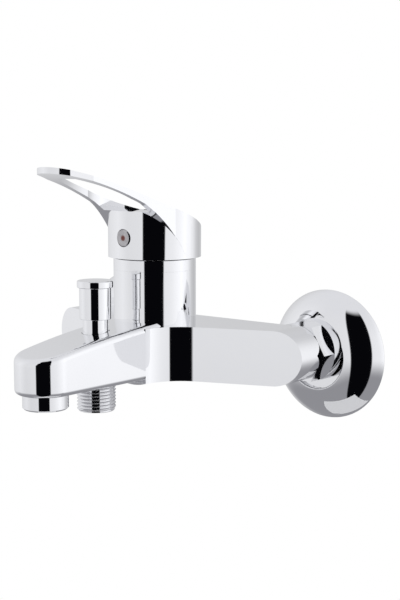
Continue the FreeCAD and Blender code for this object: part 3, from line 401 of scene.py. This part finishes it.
# %% Trim ring
RING_BORE = 19.9
ring_low, ring_high = node_box["trim_ring"]
ring_radius = (ring_high[0] - ring_low[0]) / 2
ring_profile = rounded(
    [(RING_BORE, ring_low[2]), (ring_radius, ring_low[2]),
     (ring_radius, ring_high[2]), (RING_BORE, ring_high[2])],
    [0.2, 0.2, 0.35, 0.3],
)
ring = turned("trim_collar", ring_profile, (0, middle("trim_ring")[1], 0))
settle(ring, "faucet_body", "trim_ring", "plated_brass")

# %% [markdown]
# The rosettes
#
# Thin spun covers that hide the hole in the wall. A spun cover has a short sloping band at the wall,
# one crisp crease, and then a single smooth dome to its hole, so the profile is those three in turn.

# %% Rosettes
COVER_HOLE, BAND_TOP, BAND_HEIGHT, LAND, WALL, BULGE = 17.95, 34.3, 3.0, 4.0, 1.2, 1.9


def cover_profile(outer, depth):
    """Band, dome and return: the dome is a straight run with a parabola's bulge, 4 t (1 - t), at right
    angles to it."""
    along = np.linspace(0, 1, 40)[:, None]
    foot, lip = np.array([BAND_TOP, BAND_HEIGHT]), np.array([COVER_HOLE + 0.35, depth])
    run = lip - foot
    out = unit(np.array([-run[1], run[0]]) * -1.0)
    dome = foot + along * run + 4 * along * (1 - along) * BULGE * out
    band = np.array([(outer, 0.0), (outer, 0.25), (BAND_TOP + 0.12, BAND_HEIGHT - 0.2)])
    back = np.array([
        (COVER_HOLE, depth - 0.3), (COVER_HOLE, depth - LAND),
        (COVER_HOLE + WALL, depth - LAND), (BAND_TOP - 1.6, BAND_HEIGHT - 0.6), (outer - WALL, 0.0),
    ])
    return np.concatenate([band, dome, back])


for side in ("left", "right"):
    low, high = node_box["rosette_" + side]
    outline = cover_profile((high[0] - low[0]) / 2, high[1] - low[1])
    outline[:, 1] = high[1] - outline[:, 1]
    hub = middle("rosette_" + side)
    cover = turned("wall_cover_" + side, outline, (hub[0], 0, hub[2]), "Y")
    settle(cover, "faucet_body", "rosette_" + side, "plated_brass")

# %% [markdown]
# The diverter knob
#
# A small pull knob: a slim barrel under a flat cap that fingers can catch. It is hollow below, where
# it slides over the sleeve of the bonnet.

# %% Diverter knob
BARREL, KNOB_BORE, CAP_UNDER, BORE_TOP = 8.6, 7.2, 3.7, 8.1
knob_low, knob_high = node_box["diverter_knob"]
cap = (knob_high[0] - knob_low[0]) / 2
bottom, top = knob_low[2], knob_high[2]
knob_profile = rounded(
    [(KNOB_BORE, bottom), (BARREL, bottom), (BARREL, top - CAP_UNDER), (cap, top - CAP_UNDER),
     (cap, top), (0, top), (0, top - BORE_TOP), (KNOB_BORE, top - BORE_TOP)],
    [0.1, 0.25, 0.15, 0.3, 0.7, 0, 0, 0.2],
)
knob = turned("pull_knob", knob_profile, (0, middle("diverter_knob")[1], 0))
settle(knob, "diverter", "diverter_knob", "plated_brass")

# %% [markdown]
# The shower outlet
#
# The hose screws onto a half inch pipe thread. Rings stacked on a tube look nearly right but never
# line up as a hose nut would need, so the crest here climbs one pitch for each turn.

# %% Threaded outlet
PITCH, THREAD_DEPTH, OUTLET_BORE = 1.814, 1.16, 6.2
out_low, out_high = node_box["shower_outlet"]
crest = (out_high[0] - out_low[0]) / 2
turn = np.linspace(0, 2 * math.pi, 160, endpoint=False)[:, None]
rise = np.linspace(out_low[2], out_high[2], 150)[None, :]
fade = np.clip((rise - out_low[2]) / 1.2, 0, 1) * np.clip((out_high[2] - rise) / 2.0, 0, 1)
groove = 0.5 - 0.5 * np.cos(2 * math.pi * (rise / PITCH) - turn)
lead_in = 0.9 * (1 - np.clip((rise - out_low[2]) / 1.0, 0, 1))
radius = crest - THREAD_DEPTH * groove * fade - lead_in
radius = np.concatenate([np.full_like(turn, OUTLET_BORE), radius, np.full_like(turn, OUTLET_BORE)], 1)
level = np.broadcast_to(np.concatenate([rise[:, :1], rise, rise[:, -1:]], 1), radius.shape)
centre_y = middle("shower_outlet")[1]
outlet = skin("hose_thread", np.stack([radius * np.cos(turn), centre_y + radius * np.sin(turn), level], -1))
settle(outlet, "faucet_body", "shower_outlet", "plated_brass")

# %% [markdown]
# The floor
#
# A bath tap hangs on a wall about a metre up, so the pale floor is far below and small in what the
# chrome mirrors. A nearer floor would wash out every surface that turns downwards.

# %% Floor
FLOOR, REACH = -1100.0, 450.0
span = np.linspace(-REACH, REACH, 9)
sheet_x, sheet_y = np.meshgrid(span, span, indexing="ij")
floor = skin("studio_floor", np.stack([sheet_x, sheet_y, np.full_like(sheet_x, FLOOR)], -1), False, False)
paper = bpy.data.materials.new("pale_paper")
paper.use_nodes = True
bench = Bench(paper.node_tree)
glow = bench.node(
    "ShaderNodeBsdfPrincipled",
    None,
    {"Base Color": (0.8, 0.8, 0.8, 1), "Roughness": 0.9,
     "Emission Color": (1, 1, 1, 1), "Emission Strength": 0.1},
)
bench.node("ShaderNodeOutputMaterial", None, {"Surface": glow})
floor.data.materials.append(paper)
print("floor at", FLOOR, "mm")

# %% The end
print("scene built")
